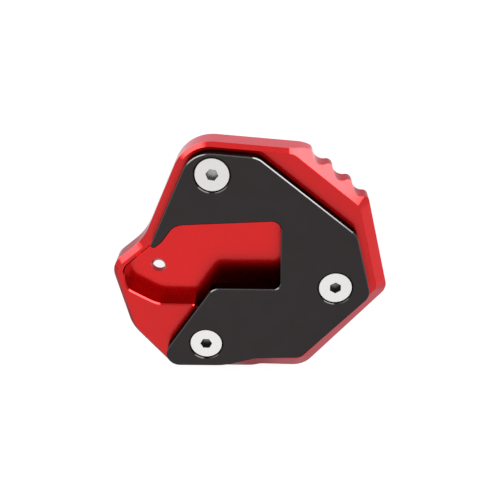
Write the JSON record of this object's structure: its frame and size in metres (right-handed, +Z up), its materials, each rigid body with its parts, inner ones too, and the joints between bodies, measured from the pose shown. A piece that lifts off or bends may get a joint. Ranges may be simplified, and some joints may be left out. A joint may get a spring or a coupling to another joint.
{
  "type": "kickstand foot enlarger",
  "caption": "Flat billet foot with a pocket that holds a kickstand's stock foot, a C-shaped clamp plate bolted over it, a toothed grip edge and an offset lobe with a drain hole.",
  "frame": {"origin": "middle of the whole part's bounding box in plan, on the flat ground face", "axes": "+Z up, away from the ground; the slot for the leg opens towards -X; the toothed edge faces +X and +Y"},
  "size_m": [0.103, 0.0958, 0.0155],
  "materials": {
    "base_plate": "glossy red anodised, machined from billet",
    "clamp_plate": "satin black anodised",
    "clamp_screws": "bright stainless"
  },
  "bodies": {
    "root": {"base_plate": "base_plate", "clamp_plate": "clamp_plate", "clamp_screws": "clamp_screws"}
  },
  "joints": []
}
